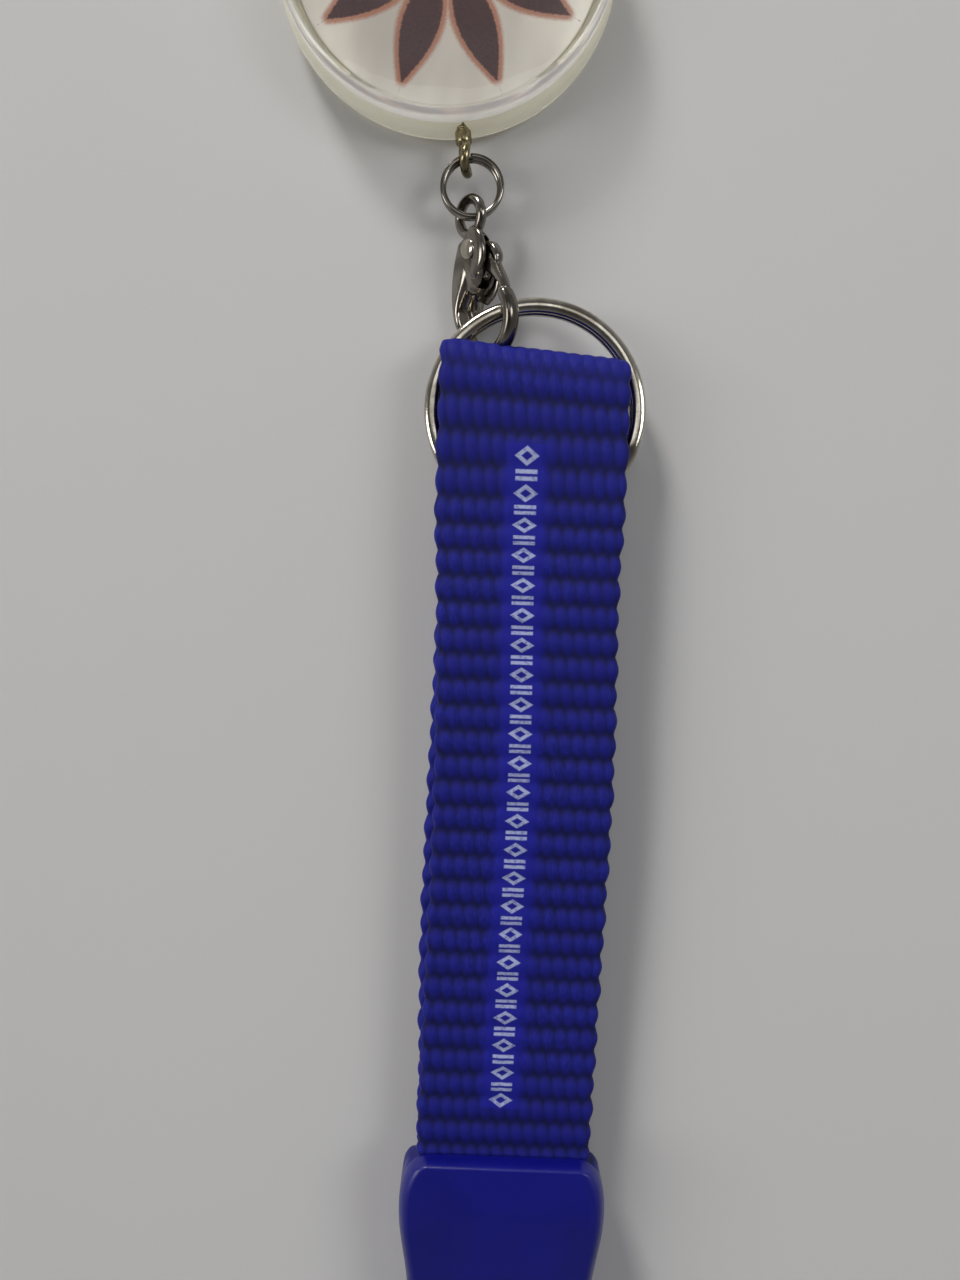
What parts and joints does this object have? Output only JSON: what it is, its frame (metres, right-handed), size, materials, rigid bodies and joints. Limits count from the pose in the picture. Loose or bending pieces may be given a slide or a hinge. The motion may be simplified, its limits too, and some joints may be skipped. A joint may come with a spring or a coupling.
{
  "type": "lanyard badge holder",
  "caption": "Folded 15 mm ribbed strap with a split ring, lobster clasp and round clear charm at one end and a side-release buckle at the other.",
  "frame": {"origin": "on the buckle socket's flat back face, halfway along the socket, on the surface that the holder lies on", "axes": "+Y up the strap from the buckle to the ring and charm, +X to the right seen from the front, +Z out of the front face"},
  "size_m": [0.0314, 0.1488, 0.0064],
  "materials": {
    "strap_blue": "ribbed woven",
    "thread_blue": "matt thread",
    "buckle_blue": "satin gloss",
    "nickel": "polished",
    "dark_nickel": "polished",
    "spring_steel": "drawn wire",
    "brass": "plated",
    "clear_acrylic": "polished clear",
    "print_sheet": "pearl printed"
  },
  "bodies": {
    "strap": {"strap_webbing": "strap_blue", "bar_tack": "thread_blue", "socket_front_shell": "buckle_blue", "socket_back_shell": "buckle_blue", "plug_body": "buckle_blue"},
    "left_arm": {"plug_left_arm": "buckle_blue"},
    "right_arm": {"plug_right_arm": "buckle_blue"},
    "ring": {"strap_ring": "nickel"},
    "clasp": {"clasp_body": "dark_nickel", "clasp_rivet": "dark_nickel", "clasp_spring": "spring_steel"},
    "lever": {"clasp_lever": "dark_nickel"},
    "link": {"charm_ring": "dark_nickel"},
    "charm": {"screw_eye": "brass", "charm_base": "clear_acrylic", "charm_sheet": "print_sheet", "charm_dome": "clear_acrylic"}
  },
  "joints": [
    {"name": "ring_slide", "type": "slide", "parent": "strap", "child": "ring", "axis": [0, 1, 0], "range_m": [0, 0.003]},
    {"name": "clasp_swing", "type": "hinge", "parent": "ring", "child": "clasp", "pos_m": [0.00025, 0.0744, 0.00285], "axis": [0, 0, 1], "range_deg": [-45, 0]},
    {"name": "lever_press", "type": "hinge", "parent": "clasp", "child": "lever", "pos_m": [-0.00484, 0.08714, 0.00293], "axis": [0.7555, 0.1264, -0.6428], "range_deg": [0, 18], "stiffness_Nm_per_rad": 0.003},
    {"name": "link_lift", "type": "hinge", "parent": "clasp", "child": "link", "pos_m": [-0.00559, 0.0899, 0.0026], "axis": [1, 0, 0], "range_deg": [0, 60]},
    {"name": "charm_swing", "type": "hinge", "parent": "link", "child": "charm", "pos_m": [-0.00559, 0.0922, 0.0026], "axis": [0, 0, 1], "range_deg": [-30, 30]},
    {"name": "left_arm_squeeze", "type": "hinge", "parent": "strap", "child": "left_arm", "pos_m": [-0.0049, -0.013, 0.0032], "axis": [0, 0, -1], "range_deg": [0, 12], "stiffness_Nm_per_rad": 0.02},
    {"name": "right_arm_squeeze", "type": "hinge", "parent": "strap", "child": "right_arm", "pos_m": [0.0049, -0.013, 0.0032], "axis": [0, 0, 1], "range_deg": [0, 12], "stiffness_Nm_per_rad": 0.02}
  ]
}
